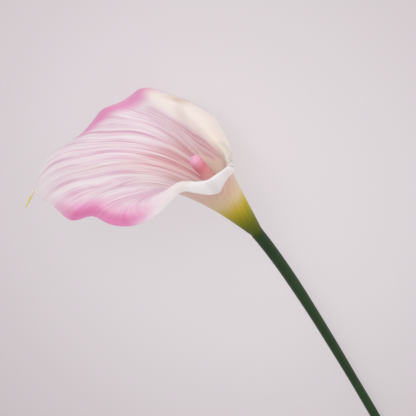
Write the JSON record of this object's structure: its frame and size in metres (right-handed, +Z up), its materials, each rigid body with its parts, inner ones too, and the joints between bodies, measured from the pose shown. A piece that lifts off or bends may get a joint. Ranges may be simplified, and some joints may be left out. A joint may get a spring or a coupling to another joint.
{
  "type": "calla lily flower",
  "caption": "Cut calla lily lying on its side: a rolled pink and white spathe with a waved rim and hooked tip round a rod-like spadix, on a smooth curved green stem",
  "frame": {"origin": "On the surface the flower lies on, under the middle of its bounding box", "axes": "+Z up from the surface; +X along the flower's length, from the spathe's tip to the stem's cut end; +Y across it"},
  "size_m": [0.3588, 0.1123, 0.09],
  "materials": {
    "spathe": "waxy satin leaf, white with pink veins and a pink rim, olive green at the foot",
    "spadix": "matt and finely grained, pink",
    "stem": "smooth satin dark green with faint lengthwise lines"
  },
  "bodies": {
    "root": {"spathe": "spathe", "spadix": "spadix", "stem": "stem"}
  },
  "joints": []
}
